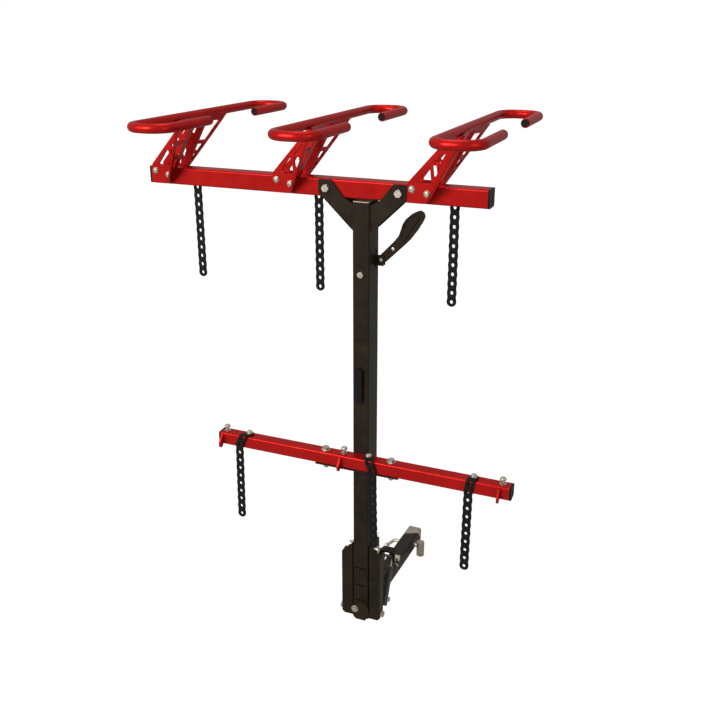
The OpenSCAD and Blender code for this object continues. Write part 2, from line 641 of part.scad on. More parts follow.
// The flange lies in its own leaning plane: u runs out from the bend, w along it
function along(z) = z/cos(lean);
front_edge = [[0, 5], [19, 24], [36, 50], [88, 150], [116, web_tall]];
rear_edge = [[0, 5], [3, 24], [10, 50], [61, 150], [88, web_tall]];
front_windows = [[[22, 62], [31, 62], [43, 88], [22, 88]], [[22, 97], [49, 97], [66, 131], [22, 131]],
    [[22, 140], [72, 140], [96, 188], [22, 188]]];
rear_windows = [[[5, 66], [9, 66], [21, 88], [5, 88]], [[5, 96], [24, 96], [34, 118], [5, 118]],
    [[5, 127], [39, 127], [68, 188], [5, 188]]];
module flange(edge, windows) difference() {
    polygon([for (p = concat([[-plate_t, 5]], edge, [[-plate_t, web_tall]])) [p[0], along(p[1])]]);
    for (w = windows) polygon(rounded([for (p = w) [p[0], along(p[1])]], 3));
}
module flange_solid(side) translate([bend_x, 0, 0]) rotate([0, lean, 0]) rotate([0, 0, side*7])
    rotate([90, 0, 90]) linear_extrude(plate_t)
        mirror([side == 1 ? 1 : 0, 0])
            flange(side == 1 ? front_edge : rear_edge, side == 1 ? front_windows : rear_windows);
module bracket(side) {
    web_y0 = side == 1 ? bar_front - plate_t : bar_back;
    out_y = side == 1 ? bar_front - plate_t : bar_back + plate_t;
    difference() {
        translate([0, 0, bar_height]) {
            plate_y(web_y0, web_y0 + plate_t) bracket_web();
            translate([0, out_y, 0]) flange_solid(side);
        }
        translate([rail_x, 0, hoop_z]) rod_y(bar_y - 300, bar_y + 300, hoop_d);
        translate([rail_x - 60, bar_y - 300, hoop_z + 4]) cube([200, 600, 60]);
        translate([bend_x - 100, bar_front, bar_height - 1]) cube([300, bar_w, hoop_h + 20]);
    }
}
module front_bracket_1() color(red) at_basket(1) bracket(1);
module front_bracket_2() color(red) at_basket(2) bracket(1);
module front_bracket_3() color(red) at_basket(3) bracket(1);
module rear_bracket_1() color(red) at_basket(1) bracket(-1);
module rear_bracket_2() color(red) at_basket(2) bracket(-1);
module rear_bracket_3() color(red) at_basket(3) bracket(-1);
module through_bolt(d, head_d, head_t, nut_af, y0, y1, socket = true) {
    rod_y(y0, y1 + 7, d);
    rod_y(y0 - 1.5, y0, socket ? head_d + 2 : head_d*0.94);
    // Domed head with a hexagon socket, or a plain hexagon head
    translate([0, y0 - 1.5, 0]) rotate([90, 0, 0]) if (socket) difference() {
        rotate_extrude() polygon([[0, 0], [head_d/2, 0], [head_d/2, head_t*0.35],
            [head_d*0.44, head_t*0.7], [head_d*0.34, head_t*0.92], [head_d*0.22, head_t], [0, head_t]]);
        translate([0, 0, head_t/2]) cylinder(h = head_t, d = head_d*0.36, $fn = 6);
    } else cylinder(h = head_t, d = head_d, $fn = 6);
    translate([0, y1, 0]) rotate([-90, 0, 0]) cylinder(h = 6.5, d = nut_af/cos(30), $fn = 6);
}
module bracket_bolts() color(zinc) for (b = basket_x, h = bracket_bolts_at)
    translate([b + h[0], 0, bar_height + h[1]])
        through_bolt(8, 17, 5, 13, bar_front - plate_t, bar_back + plate_t);

// Plates that join the mast and the upper crossbar
module mast_plate(arm) polygon(rounded([[mast_w/2, -90], [mast_w/2, -14], [55, 2.5], [arm - 39, 48.5],
    [arm, 48.5], [arm, 11.5]], 3));
// Both arms, the left one mirrored, with the length of each in $arm
module at_arms() {
    let ($arm = arm_right) children();
    mirror([1, 0, 0]) let ($arm = arm_left) children();
}
module mast_plate_pair(y0) at_arms() difference() {
    translate([0, 0, bar_height]) plate_y(y0, y0 + plate_t) mast_plate($arm);
    translate([$arm - arm_bolt_in, y0, bar_height + arm_bolt_z]) rod_y(-1, plate_t + 1, 12.9);
}
module mast_plates_front() color(black) mast_plate_pair(bar_front - plate_t);
module mast_plates_rear() color(black) mast_plate_pair(bar_back);
module mast_plate_bolts() color(zinc) at_arms() translate([$arm - arm_bolt_in, 0, bar_height + arm_bolt_z])
    through_bolt(12.5, 22, 7, 19, bar_front - plate_t, bar_back + plate_t, socket = false);

// Lower crossbar
module at_low() translate([0, low_y, low_top - low_w/2]) children();
stud_x = [-low_half + 16, -45.5, low_half - 23];
loop_x = [-low_half + 8, -51, low_half - 29];
low_strap_bolt_x = [-low_half + 96, 34, low_half - 108];
low_strap_x = low_strap_bolt_x + [-25, 21, -9];
module lower_crossbar() color(red) difference() {
    at_low() bar_along(-low_half, low_half, low_w);
    for (s = [-1, 1]) translate([s*low_bolt_x, low_y, low_top - low_w - 1])
        cylinder(h = low_w + 2, d = 12.9);
    for (x = concat(stud_x, low_strap_bolt_x)) translate([x, low_y, low_top - bar_wall - 1])
        cylinder(h = bar_wall + 2, d = strap_bolt_d);
}
module lower_caps() color(rubber) at_low() mirrored() translate([low_half, 0, 0]) cap(low_w);
low_plate_half = low_bolt_x + 28;
module mounting_plate() color(black) difference() {
    translate([-low_plate_half, mast_y - low_w, low_top - low_w - low_plate_t])
        cube([2*low_plate_half, low_w, low_plate_t]);
    for (s = [-1, 1]) translate([s*low_bolt_x, low_y, low_top - low_w - low_plate_t - 1])
        cylinder(h = low_plate_t + 2, d = 12.9);
}
module lower_bolts() color(zinc) mirrored() translate([low_bolt_x, low_y, 0]) {
    translate([0, 0, low_top - low_w - low_plate_t - 6]) cylinder(h = low_w + low_plate_t + 6, d = 12.5);
    translate([0, 0, low_top]) cylinder(h = 2.5, d = 28);
    translate([0, 0, low_top + 2.5]) cylinder(h = 8, d = 19/cos(30), $fn = 6);
    translate([0, 0, low_top - low_w - low_plate_t - 17]) {
        translate([0, 0, 9]) cylinder(h = 8, d = 19/cos(30), $fn = 6);
        rotate_extrude() polygon([[0, 0], [3, 0.4], [6, 2.2], [8, 5], [8.8, 9], [0, 9]]);
    }
}
module strap_studs() color(zinc) for (x = stud_x) translate([x, low_y, low_top]) rotate_extrude()
    polygon([[0, -bar_wall - 4], [4.5, -bar_wall - 4], [4.5, 0], [10, 0], [10, 3], [5, 5], [4.5, 12],
        [9.5, 14], [9.5, 18], [7, 21], [0, 22]]);
module tie_loop() plate_x(-3, 3) difference() {
    union() {
        polygon([[0, 19], [-4, 19], [-22, -3], [-22, -12], [0, -12]]);
        translate([-13, -12]) circle(9);
    }
    translate([-13, -12]) circle(d = tie_eye_d);
}
module tie_loops() color(red) for (x = loop_x) translate([x, mast_y - low_w, low_top - low_w/2 - 4])
    tie_loop();

// Rubber straps
module strap_shape(holes, start) difference() {
    union() {
        translate([-strap_w/2 + 1, -holes*strap_pitch]) square([strap_w - 2, holes*strap_pitch]);
        for (k = [start:holes]) translate([0, -k*strap_pitch]) circle(d = strap_w);
    }
    for (k = [1:holes]) translate([0, -k*strap_pitch]) circle(d = strap_hole);
}
module upper_strap(i) color(rubber) translate([upper_strap_x[i - 1], 0, bar_height + upper_strap_z])
    difference() {
        plate_y(bar_back + gap, bar_back + gap + strap_t) strap_shape(upper_holes + 1, 0);
        translate([0, bar_back, 0]) rod_y(0, 20, strap_hole);
    }
module upper_strap_1() upper_strap(1);
module upper_strap_2() upper_strap(2);
module upper_strap_3() upper_strap(3);
edge_r = bar_corner + 1;
module lower_strap(i) color(rubber) {
    bolt_x = low_strap_bolt_x[i - 1];
    x = low_strap_x[i - 1];
    edge_y = mast_y - low_w - 1 + edge_r;
    // Run on the top face, round its bolt and out to the front edge
    translate([0, 0, low_top]) linear_extrude(strap_t) difference() {
        union() {
            translate([bolt_x, low_y]) circle(d = strap_w);
            polygon([[bolt_x - strap_w/2, low_y], [bolt_x + strap_w/2, low_y],
                [x + strap_w/2 - 1, edge_y], [x - strap_w/2 + 1, edge_y]]);
        }
        translate([bolt_x, low_y]) circle(d = strap_bolt_d);
    }
    // Bend over the front edge
    translate([x - strap_w/2 + 1, edge_y, low_top - edge_r]) rotate([90, 0, 90])
        rotate([0, 0, 90]) linear_extrude(strap_w - 2) bend_ring();
    // Hanging run
    translate([x, mast_y - low_w - 1 - strap_t, low_top - edge_r]) plate_y(0, strap_t)
        strap_shape(lower_holes, 1);
}
module bend_ring() intersection() {
    difference() {
        circle(edge_r + strap_t);
        circle(edge_r);
    }
    square(edge_r + strap_t + 1);
}
module lower_strap_1() lower_strap(1);
module lower_strap_2() lower_strap(2);
module lower_strap_3() lower_strap(3);
module strap_bolts() color(zinc) {
    for (x = low_strap_bolt_x) translate([x, low_y, low_top]) {
        translate([0, 0, -bar_wall - 4]) cylinder(h = bar_wall + 4 + strap_t, d = strap_bolt_d);
        translate([0, 0, strap_t]) cylinder(h = 2, d = 21);
        translate([0, 0, strap_t + 2]) rotate_extrude() polygon([[0, 0], [9, 0], [8, 4], [5, 7], [0, 8]]);
    }
    for (x = upper_strap_x) translate([x, bar_back, bar_height + upper_strap_z]) {
        rod_y(-bar_wall - 4, strap_t + 2*gap, strap_bolt_d);
        rod_y(strap_t + 2*gap, strap_t + 2*gap + 2, 21);
        rod_y(strap_t + 2*gap + 2, strap_t + 2*gap + 7, 14);
    }
}

// Hitch pin with its bent handle, and the lock barrel
module hitch_pin() color(zinc) {
    rod_x(-shank_w/2 - 8, shank_w/2 + lock_gap + lock_d - 6, hitch_pin_d);
    translate([-shank_w/2 - hitch_pin_out, 0, 0]) {
        rod_x(0, hitch_pin_out - 7, hitch_handle_d);
        sphere(d = hitch_handle_d + 1);
        rotate([0, -45, 0]) rod_x(-hitch_handle_len - 5, 0, hitch_handle_d);
    }
}
lock_low = 38;
module lock_barrel() color(steel) translate([shank_w/2 + lock_gap + lock_d/2, 0, -lock_low]) difference() {
    union() {
        cylinder(h = lock_h, d = lock_d);
        translate([0, 0, -1]) cylinder(h = 2, d = lock_d - 6);
    }
    translate([0, 0, lock_low]) rod_x(-lock_d, lock_d/2 - 6 + gap, hitch_pin_d + 2*fit);
}

shank();
yoke_left();
yoke_right();
heel_plate();
shank_gussets();
pivot_bolt();
pivot_nut();
pivot_washers();
lock_sockets();
damper_stud();
mast_tube();
mast_foot();
toe_plate();
toe_bolt();
lock_guide();
lock_plates();
damper_arm();
pull_handle();
mast_bolts();
lever_bracket();
lever_rivet();
upper_crossbar();
upper_caps();
hoop_1();
hoop_2();
hoop_3();
hoop_plugs();
front_bracket_1();
front_bracket_2();
front_bracket_3();
rear_bracket_1();
rear_bracket_2();
rear_bracket_3();
bracket_bolts();
mast_plates_front();
mast_plates_rear();
mast_plate_bolts();
lower_crossbar();
lower_caps();
mounting_plate();
lower_bolts();
strap_studs();
tie_loops();
strap_bolts();
lower_strap_1();
lower_strap_2();
lower_strap_3();
upper_strap_1();
upper_strap_2();
upper_strap_3();
lock_pin_left();
lock_pin_right();
cam_plate();
release_cable();
release_lever();
damper_cylinder();
damper_rod();
damper_pin();
hitch_pin();
lock_barrel();
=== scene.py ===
import json
import math

import bmesh
import bpy
import numpy as np
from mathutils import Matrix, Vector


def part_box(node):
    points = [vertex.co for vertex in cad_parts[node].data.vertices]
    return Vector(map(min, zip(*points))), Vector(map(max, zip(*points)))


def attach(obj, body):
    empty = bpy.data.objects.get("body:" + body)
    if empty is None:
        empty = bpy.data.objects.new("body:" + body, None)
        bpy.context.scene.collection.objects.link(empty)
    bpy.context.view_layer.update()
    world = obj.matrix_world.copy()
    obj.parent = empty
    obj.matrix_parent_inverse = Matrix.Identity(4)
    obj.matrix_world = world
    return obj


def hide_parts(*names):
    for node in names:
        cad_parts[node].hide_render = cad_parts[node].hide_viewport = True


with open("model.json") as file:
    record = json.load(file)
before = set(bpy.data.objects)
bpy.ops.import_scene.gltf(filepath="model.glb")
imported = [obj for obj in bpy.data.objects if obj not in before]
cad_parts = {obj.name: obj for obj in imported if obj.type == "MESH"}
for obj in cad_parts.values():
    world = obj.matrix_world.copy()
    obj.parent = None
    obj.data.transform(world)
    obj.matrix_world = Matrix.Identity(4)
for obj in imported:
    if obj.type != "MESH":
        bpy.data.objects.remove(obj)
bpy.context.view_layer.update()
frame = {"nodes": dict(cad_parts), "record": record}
nodes = frame["nodes"]
print("frame loaded:", len(nodes), "nodes")

# Camera, worked out from the photograph's straight edges
cameraSettings = {
    "place": (0.87848, -2.63486, 1.86175),
    "turn": 22.15,      # degrees to the left of +Y
    "down": 19.95,      # degrees below the horizon
    "lens": 42.89,      # mm
    "sensor": 36.0,     # mm
    "shiftY": -0.0417,  # the photograph is cropped a little low
}

camData = bpy.data.cameras.new("photoCamera")
camData.lens = cameraSettings["lens"]
camData.sensor_width = cameraSettings["sensor"]
camData.shift_y = cameraSettings["shiftY"]
camera = bpy.data.objects.new("photoCamera", camData)
camera.location = cameraSettings["place"]
camera.rotation_euler = (math.radians(90 - cameraSettings["down"]), 0,
                         math.radians(cameraSettings["turn"]))
bpy.context.scene.collection.objects.link(camera)
bpy.context.scene.camera = camera
bpy.context.scene.view_settings.view_transform = "Standard"


def toLinear(hexColour):
    # sRGB hex to linear: the low part is a straight line, the rest a 2.4 power
    c = np.array([int(hexColour[i:i + 2], 16) for i in (1, 3, 5)]) / 255
    c = np.where(c <= 0.04045, c / 12.92, ((c + 0.055) / 1.055) ** 2.4)
    return (*c.tolist(), 1.0)


def addNode(tree, kind, values=None, links=None, **traits):
    # one node with its traits, socket values and incoming links
    node = tree.nodes.new(kind)
    for name, value in traits.items():
        setattr(node, name, value)
    for name, value in (values or {}).items():
        node.inputs[name].default_value = value
    for name, socket in (links or {}).items():
        tree.links.new(socket, node.inputs[name])
    return node


# Floor, world and lamps
stageSettings = {
    "floorHeight": -0.46,     # a receiver sits about this far above the ground
    "floorReach": 60.0,       # m from the middle to each edge
    "floorHex": "#7F7E7B",
    "nearGlow": 0.89,         # seen by the camera and in reflections only, where the lamps reach
    "farGlow": 1.0,
    "nearFar": (1.5, 5.0),    # m from the middle, between which the glow changes
    "worldLight": 0.34,
    "mirrored": 0.50,         # share of the white surroundings that paint and metal mirror
    "lamps": [
        # name, place, target, size in m, power in W, colour
        ("keySoftbox", (-1.7, -4.4, 3.0), (0, -0.4, 0.9), 2.2, 190, "#FFF9F2"),
        ("rightFill", (3.6, -2.2, 2.4), (0, -0.4, 0.8), 1.8, 24, "#FFFBF6"),
        ("topSoftbox", (-0.4, 0.2, 4.2), (0, -0.3, 1.2), 1.6, 26, "#FFFFFF"),
    ],
}


def raySees(tree):
    # 1 for what the camera sees directly or through glass, less in metal and gloss, and 0 for the
    # light on the object
    ray = addNode(tree, "ShaderNodeLightPath")
    gloss = addNode(tree, "ShaderNodeMath", operation="MULTIPLY",
                    values={1: stageSettings["mirrored"]}, links={0: ray.outputs["Is Glossy Ray"]})
    direct = addNode(tree, "ShaderNodeMath", operation="MAXIMUM",
                     links={0: ray.outputs["Is Camera Ray"], 1: ray.outputs["Is Transmission Ray"]})
    return addNode(tree, "ShaderNodeMath", operation="MAXIMUM",
                   links={0: direct.outputs[0], 1: gloss.outputs[0]}).outputs[0]


def makeFloorMaterial():
    # matt studio vinyl: the glow adds to the lamps' light and lifts it to white for the camera,
    # and grows outwards as that light falls off
    mat = bpy.data.materials.new("studioVinyl")
    mat.use_nodes = True
    tree = mat.node_tree
    tree.nodes.clear()
    where = addNode(tree, "ShaderNodeTexCoord").outputs["Object"]
    away = addNode(tree, "ShaderNodeVectorMath", operation="LENGTH", links={0: where})
    near, far = stageSettings["nearFar"]
    glowing = addNode(tree, "ShaderNodeMapRange", interpolation_type="SMOOTHSTEP",
                      values={"From Min": near, "To Min": stageSettings["nearGlow"],
                              "From Max": far, "To Max": stageSettings["farGlow"]},
                      links={"Value": away.outputs["Value"]})
    strength = addNode(tree, "ShaderNodeMath", operation="MULTIPLY",
                       links={0: raySees(tree), 1: glowing.outputs[0]})
    matt = addNode(tree, "ShaderNodeBsdfDiffuse",
                   values={"Color": toLinear(stageSettings["floorHex"])})
    glow = addNode(tree, "ShaderNodeEmission", values={"Color": (1, 1, 1, 1)},
                   links={"Strength": strength.outputs[0]})
    both = addNode(tree, "ShaderNodeAddShader", links={0: matt.outputs[0], 1: glow.outputs[0]})
    addNode(tree, "ShaderNodeOutputMaterial", links={"Surface": both.outputs[0]})
    return mat


def makeStage():
    far, z = stageSettings["floorReach"], stageSettings["floorHeight"]
    mesh = bpy.data.meshes.new("floor")
    corners = [(-far, -far, z), (far, -far, z), (far, far, z), (-far, far, z)]
    mesh.from_pydata(corners, [], [(0, 1, 2, 3)])
    floor = bpy.data.objects.new("floor", mesh)
    floor.data.materials.append(makeFloorMaterial())
    bpy.context.scene.collection.objects.link(floor)
    world = bpy.data.worlds.new("studio")
    bpy.context.scene.world = world
    world.use_nodes = True
    tree = world.node_tree
    tree.nodes.clear()
    strength = addNode(tree, "ShaderNodeMapRange",
                       values={"To Min": stageSettings["worldLight"], "To Max": 1.0},
                       links={"Value": raySees(tree)})
    back = addNode(tree, "ShaderNodeBackground", values={"Color": (1, 1, 1, 1)},
                   links={"Strength": strength.outputs[0]})
    addNode(tree, "ShaderNodeOutputWorld", links={"Surface": back.outputs[0]})
    for name, place, target, size, power, colour in stageSettings["lamps"]:
        light = bpy.data.lights.new(name, "AREA")
        light.shape = "DISK"
        light.size = size
        light.energy = power
        light.color = toLinear(colour)[:3]
        lamp = bpy.data.objects.new(name, light)
        lamp.location = place
        aim = np.array(target) - np.array(place)
        lamp.rotation_euler = (math.acos(-aim[2] / np.linalg.norm(aim)), 0,
                               math.atan2(-aim[0], aim[1]))
        bpy.context.scene.collection.objects.link(lamp)


makeStage()
print("stage made")

# Finishes. Pattern sizes are in mm and come from the real surface.
finishes = {
    "red_powder": {
        # candy powder coat, a clear red over a bright base: saturated, with red highlights and a
        # faint orange peel
        "name": "candyRedPowderCoat", "hexes": ("#AB1A18", "#B81F1C"), "patchMm": 60,
        "grainMm": 3.0, "grain": 0.08, "grainDepthMm": 0.012, "rough": (0.32, 0.36), "metallic": 0.5,
        "shine": 0.12, "tint": "#7A2A24", "coat": 0.04, "coatRough": 0.14, "edgeMm": 0.9},
    "black_powder": {
        # fine-texture black powder coat: grit of about 0.3 mm, drawn at 1.2 mm so that it shows
        "name": "texturedBlackPowderCoat", "hexes": ("#1E1811", "#2E251B"), "patchMm": 45,
        "grainMm": 1.2, "grain": 0.45, "grainDepthMm": 0.09, "rough": (0.46, 0.58), "metallic": 0.0,
        "shine": 0.10, "tint": "#FFFFFF", "coat": 0.0, "coatRough": 0.3, "edgeMm": 0.9},
    "zinc_plate": {
        # bright zinc plating on cold-headed steel: warm grey with a soft cloudy sheen
        "name": "brightZincPlate", "hexes": ("#A39A8F", "#C3BBB0"), "patchMm": 9, "grainMm": 0.8,
        "grain": 0.06, "grainDepthMm": 0.006, "rough": (0.36, 0.48), "metallic": 1.0, "shine": 0.5,
        "tint": "#FFFFFF", "coat": 0.0, "coatRough": 0.3, "edgeMm": 0.3},
    "bare_steel": {
        # mill-finish steel with a thin oil film: duller and browner than the plated pieces
        "name": "oiledMillSteel", "hexes": ("#8A8074", "#A79C90"), "patchMm": 16, "grainMm": 1.5,
        "grain": 0.15, "grainDepthMm": 0.03, "rough": (0.42, 0.55), "metallic": 1.0, "shine": 0.5,
        "tint": "#FFFFFF", "coat": 0.0, "coatRough": 0.3, "edgeMm": 0.5},
    "black_rubber": {
        # moulded EPDM rubber: matt, a little grey where the mould's texture catches light
        "name": "mouldedRubber", "hexes": ("#100E0C", "#1A1715"), "patchMm": 12, "grainMm": 0.9,
        "grain": 0.3, "grainDepthMm": 0.04, "rough": (0.50, 0.66), "metallic": 0.0, "shine": 0.12,
        "tint": "#FFFFFF", "coat": 0.0, "coatRough": 0.3, "edgeMm": 0.6},
    "grey_paint": {
        # satin enamel on the damper's drawn cylinder
        "name": "satinEnamel", "hexes": ("#4E4A46", "#5E5954"), "patchMm": 20, "grainMm": 1.5,
        "grain": 0.08, "grainDepthMm": 0.03, "rough": (0.30, 0.40), "metallic": 0.0, "shine": 0.25,
        "tint": "#FFFFFF", "coat": 0.10, "coatRough": 0.2, "edgeMm": 0.4},
}


# What all finishes share: noise detail, strength of the bump and samples of the rounded edges
patternSettings = {"patchDetail": 3.0, "patchRoughness": 0.55, "grainDetail": 2.0,
                   "grainRoughness": 0.6, "bump": 0.6, "edgeSamples": 8, "contrast": (0.3, 0.7)}

# Near the shank's far end the black coat gives way to bare steel, past a ragged edge
# that slants across the tube
bareEnd = {"slope": (-0.6, 1.063, 0.8), "startMm": 53.0, "ragMm": 3.0, "ragSizeMm": 7.0,
           "ragDetail": 3.0, "blurMm": 0.8}


def bareMask(tree, where, b):
    # 1 past the slanting plane slope . P = start, with a ragged edge
    height = addNode(tree, "ShaderNodeVectorMath", operation="DOT_PRODUCT",
                     values={1: b["slope"]}, links={0: where})
    rag = addNode(tree, "ShaderNodeTexNoise",
                  values={"Scale": 1000 / b["ragSizeMm"], "Detail": b["ragDetail"]},
                  links={"Vector": where})
    edge = addNode(tree, "ShaderNodeMath", operation="MULTIPLY_ADD", values={1: b["ragMm"] / 1000},
                   links={0: rag.outputs[0], 2: height.outputs["Value"]})
    middle = (b["startMm"] + b["ragMm"] / 2) / 1000
    blur = b["blurMm"] / 2000
    return addNode(tree, "ShaderNodeMapRange",
                   values={"From Min": middle - blur, "From Max": middle + blur},
                   links={"Value": edge.outputs[0]}).outputs[0]


def makeFinish(s, under=None):
    # patches and grain choose between two colours and two roughnesses; under is the bare metal
    # past bareMask
    shared = patternSettings
    mat = bpy.data.materials.new(s["name"] + ("WithBareEnd" if under else ""))
    mat.use_nodes = True
    tree = mat.node_tree
    tree.nodes.clear()
    where = addNode(tree, "ShaderNodeTexCoord").outputs["Object"]
    patch = addNode(tree, "ShaderNodeTexNoise",
                    values={"Scale": 1000 / s["patchMm"], "Detail": shared["patchDetail"],
                            "Roughness": shared["patchRoughness"]}, links={"Vector": where})
    grain = addNode(tree, "ShaderNodeTexNoise",
                    values={"Scale": 1000 / s["grainMm"], "Detail": shared["grainDetail"],
                            "Roughness": shared["grainRoughness"]}, links={"Vector": where})
    mixed = addNode(tree, "ShaderNodeMath", operation="MULTIPLY_ADD",
                    values={1: s["grain"]}, links={0: grain.outputs[0], 2: patch.outputs[0]})
    low, high = (edge + s["grain"] / 2 for edge in shared["contrast"])
    level = addNode(tree, "ShaderNodeMapRange", values={"From Min": low, "From Max": high},
                    links={"Value": mixed.outputs[0]})
    colour = addNode(tree, "ShaderNodeMix", data_type="RGBA",
                     values={6: toLinear(s["hexes"][0]), 7: toLinear(s["hexes"][1])},
                     links={0: level.outputs[0]})
    rough = addNode(tree, "ShaderNodeMapRange",
                    values={"To Min": s["rough"][0], "To Max": s["rough"][1]},
                    links={"Value": level.outputs[0]})
    rounding = addNode(tree, "ShaderNodeBevel", values={"Radius": s["edgeMm"] / 1000},
                       samples=shared["edgeSamples"])
    bump = addNode(tree, "ShaderNodeBump",
                   values={"Strength": shared["bump"], "Distance": s["grainDepthMm"] / 1000},
                   links={"Height": grain.outputs[0], "Normal": rounding.outputs[0]})
    shader = addNode(tree, "ShaderNodeBsdfPrincipled",
                     values={"Metallic": s["metallic"], "Specular IOR Level": s["shine"],
                             "Specular Tint": toLinear(s["tint"]),
                             "Coat Weight": s["coat"], "Coat Roughness": s["coatRough"]},
                     links={"Base Color": colour.outputs[2], "Roughness": rough.outputs[0],
                            "Normal": bump.outputs[0]})
    if under:
        mask = bareMask(tree, where, bareEnd)
        metal = addNode(tree, "ShaderNodeMix", data_type="RGBA",
                        values={6: toLinear(under["hexes"][0]), 7: toLinear(under["hexes"][1])},
                        links={0: level.outputs[0]})
        both = addNode(tree, "ShaderNodeMix", data_type="RGBA",
                       links={0: mask, 6: colour.outputs[2], 7: metal.outputs[2]})
        worn = addNode(tree, "ShaderNodeMix", values={3: sum(under["rough"]) / 2},
                       links={0: mask, 2: rough.outputs[0]})
        bare = {"Base Color": both.outputs[2], "Roughness": worn.outputs[0], "Metallic": mask}
        for name, socket in bare.items():
            tree.links.new(socket, shader.inputs[name])
    addNode(tree, "ShaderNodeOutputMaterial", links={"Surface": shader.outputs[0]})
    return mat


materials = {slot: makeFinish(settings) for slot, settings in finishes.items()}
slotOf = {part["node"]: part["material_slot"] for part in frame["record"]["subparts"]}
shankFinish = makeFinish(finishes["black_powder"], finishes["bare_steel"])
for name, obj in nodes.items():
    mat = shankFinish if name == "shank" else materials[slotOf[name]]
    if not obj.material_slots:
        obj.data.materials.append(mat)
    for slot in obj.material_slots:
        slot.material = mat
print("finishes made:", len(materials))


mergeWithin = 2e-6  # m


def makePiece(name, verts, faces, slot, body, smoothAngle=35):
    # a new mesh piece from arrays, with its doubles merged and its normals outwards
    mesh = bpy.data.meshes.new(name)
    mesh.from_pydata(verts.tolist(), [], faces if isinstance(faces, list) else faces.tolist())
    piece = bpy.data.objects.new(name, mesh)
    bpy.context.scene.collection.objects.link(piece)
    bm = bmesh.new()
    bm.from_mesh(mesh)
    bmesh.ops.remove_doubles(bm, verts=bm.verts, dist=mergeWithin)
    bmesh.ops.recalc_face_normals(bm, faces=bm.faces)
    bm.to_mesh(mesh)
    bm.free()
    mesh.shade_smooth()
    mesh.set_sharp_from_angle(angle=math.radians(smoothAngle))
    mesh.materials.append(materials[slot])
    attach(piece, body)
    return piece


def gridFaces(rows, cols, offset=0, closeRows=False, closeCols=False):
    # quads of a grid of rows x cols points, joined round where asked
    i = np.arange(rows if closeRows else rows - 1)[:, None]
    j = np.arange(cols if closeCols else cols - 1)[None, :]
    a, b = i * cols + j, i * cols + (j + 1) % cols
    c, d = ((i + 1) % rows) * cols + (j + 1) % cols, ((i + 1) % rows) * cols + j
    return np.stack([a, b, c, d], -1).reshape(-1, 4) + offset


# Rubber straps: one moulded link after another, each a ring round its hole
strapSettings = {
    "widthMm": 28.0, "thickMm": 6.0, "waistMm": 1.7,  # the edge draws in this far between holes
    "holeMm": (8.0, 10.4),  # across and along, the narrowest part of each funnel-shaped hole
    "funnelMm": 2.0,  # the hole's wall slopes out by this much towards both faces
    "roundMm": 1.8,   # rounding of the strap's sides
    "endBluntness": 1.15,  # the round ends are a little blunter than a half circle
    "boltFunnelMm": 0.3,   # the bolt's hole only has a small edge
}


def linkOutline(pitch, side=9, cap=7):
    # Outer edge of one link, anticlockwise: sides at half the width less one cosine wave of the
    # waist, straight lines where it joins its neighbours, and a mark for the points on the sides
    half, drawnIn = strapSettings["widthMm"] / 2, strapSettings["waistMm"]
    along = np.linspace(-0.5, 0.5, side)
    waist = half - drawnIn * (1 - np.cos(2 * np.pi * along)) / 2
    across = np.linspace(1, -1, cap)[1:-1]
    right = np.stack([waist, along * pitch], -1)
    far = np.stack([across * waist[-1], np.full(cap - 2, 0.5 * pitch)], -1)
    ring = np.concatenate([right, far, right[::-1] * (-1, 1), far[::-1] * (1, -1)])
    isSide = np.concatenate([np.ones(side), np.zeros(cap - 2), np.ones(side), np.zeros(cap - 2)])
    return ring, isSide


def strapLinks(count, pitch, boltHole):
    # Flat strap as arrays of (across, along, thickness) in mm. Each link is a ring: its inner
    # edge is the hole, its outer edge the strap's side, and layers between them carry the rounding.
    s = strapSettings
    half, t = s["widthMm"] / 2, s["thickMm"] / 2
    ring, isSide = linkOutline(pitch)
    n = len(ring)
    turnOf = np.arctan2(ring[:, 1] / pitch, ring[:, 0] / (2 * half))
    hole = np.stack([np.cos(turnOf), np.sin(turnOf)], -1)
    quarter = np.linspace(0, np.pi / 2, 5)
    verts, faces, offset = [], [], 0
    for k in range(count + 1):
        outer, edge = ring.copy(), isSide.copy()
        if k in (0, count):                                   # round end
            way = -1 if k == 0 else 1
            end = outer[:, 1] * way > -1e-9
            a = np.arctan2(outer[:, 1], outer[:, 0] * s["endBluntness"])
            outer[end] = np.stack([np.cos(a), np.sin(a)], -1)[end] * half
            edge[end] = 1
        size = np.array([boltHole, boltHole] if k == 0 else s["holeMm"]) / 2
        funnel, b = s["boltFunnelMm" if k == 0 else "funnelMm"], s["roundMm"]
        inner = hole * size
        outwards = outer - inner
        reach = np.linalg.norm(outwards, axis=1, keepdims=True)
        outwards = outwards / reach
        # layers from the hole outwards: a quarter wave up the funnel, then a quarter circle down
        # the sides
        layers = [(inner + outwards * funnel * (1 - np.cos(q)), t * np.sin(q)) for q in quarter]
        layers = [(flat, np.full(n, height)) for flat, height in layers]
        layers += [(outer - outwards * b * (1 - np.sin(q)),
                    np.where(edge > 0, t - b * (1 - np.cos(q)), t)) for q in quarter]
        top = np.array([np.concatenate([flat, height[:, None]], 1) for flat, height in layers])
        bottom = top[::-1] * (1, 1, -1)
        loop = np.concatenate([top, bottom])                  # hole, top, side, bottom and back
        loop[..., 1] += k * pitch
        m = len(layers)
        f = gridFaces(2 * m, n, 0, True, True)
        row, col = f[:, 0] // n, f[:, 0] % n
        joint = (row == m - 1) & ((edge[col] == 0) | (edge[(col + 1) % n] == 0))
        faces.append(f[~joint] + offset)                      # no wall where two links meet
        verts.append(loop.reshape(-1, 3))
        offset += 2 * m * n
    return np.concatenate(verts), np.concatenate(faces)


